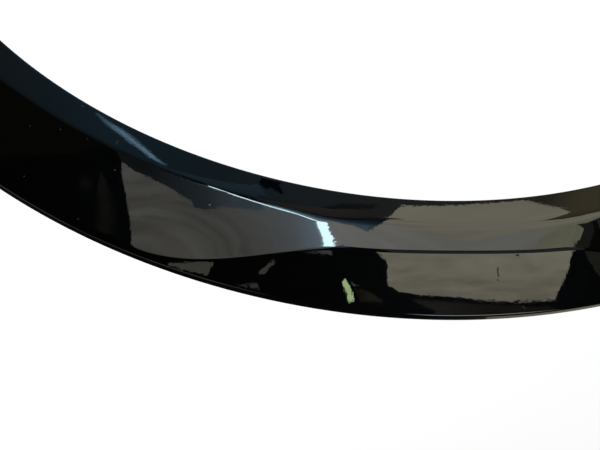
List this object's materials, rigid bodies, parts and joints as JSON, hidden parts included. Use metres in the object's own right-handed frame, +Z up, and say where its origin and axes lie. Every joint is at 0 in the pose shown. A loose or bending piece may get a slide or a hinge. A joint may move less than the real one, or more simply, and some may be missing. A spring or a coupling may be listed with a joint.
{
  "type": "wheel arch trim",
  "caption": "Arch-shaped gloss black cover strip for a car's wheel opening, with a bevelled inner edge, a ridge that runs out at the lip, a return flange, a locating peg and push-in clips.",
  "frame": {"origin": "axis of the crown locating peg, in the plane of the body side that the lip lies on", "axes": "+X along the car, +Y into the car's body side, +Z up; the wheel's centre lies straight below the origin"},
  "size_m": [0.926, 0.0367, 0.463],
  "materials": {
    "gloss_moulding": "high-gloss black paint on the face, moulded black on the back",
    "clip_nylon": "natural nylon"
  },
  "bodies": {
    "root": {"arch_moulding": "gloss_moulding", "retaining_clips": "clip_nylon"}
  },
  "joints": []
}
